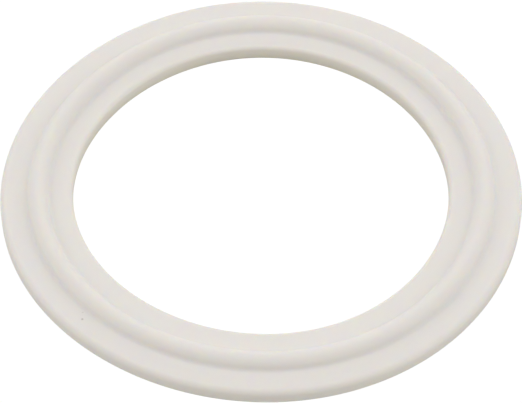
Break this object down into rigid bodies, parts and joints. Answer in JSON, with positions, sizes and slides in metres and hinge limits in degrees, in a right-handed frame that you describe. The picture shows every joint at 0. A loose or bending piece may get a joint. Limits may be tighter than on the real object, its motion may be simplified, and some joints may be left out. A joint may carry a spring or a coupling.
{
  "type": "o-ring gasket",
  "caption": "Flat moulded rubber ring gasket with a round o-ring bead standing on one face, for sealing a pipe union face.",
  "frame": {"origin": "centre of the flat underside, on the ring's axis", "axes": "+Z along the ring's axis, from the flat underside towards the bead; the ring is round, so X and Y are any two directions across it"},
  "size_m": [0.0778, 0.0778, 0.0041],
  "materials": {
    "white_rubber": "matte"
  },
  "bodies": {
    "root": {"o_ring_gasket": "white_rubber"}
  },
  "joints": []
}
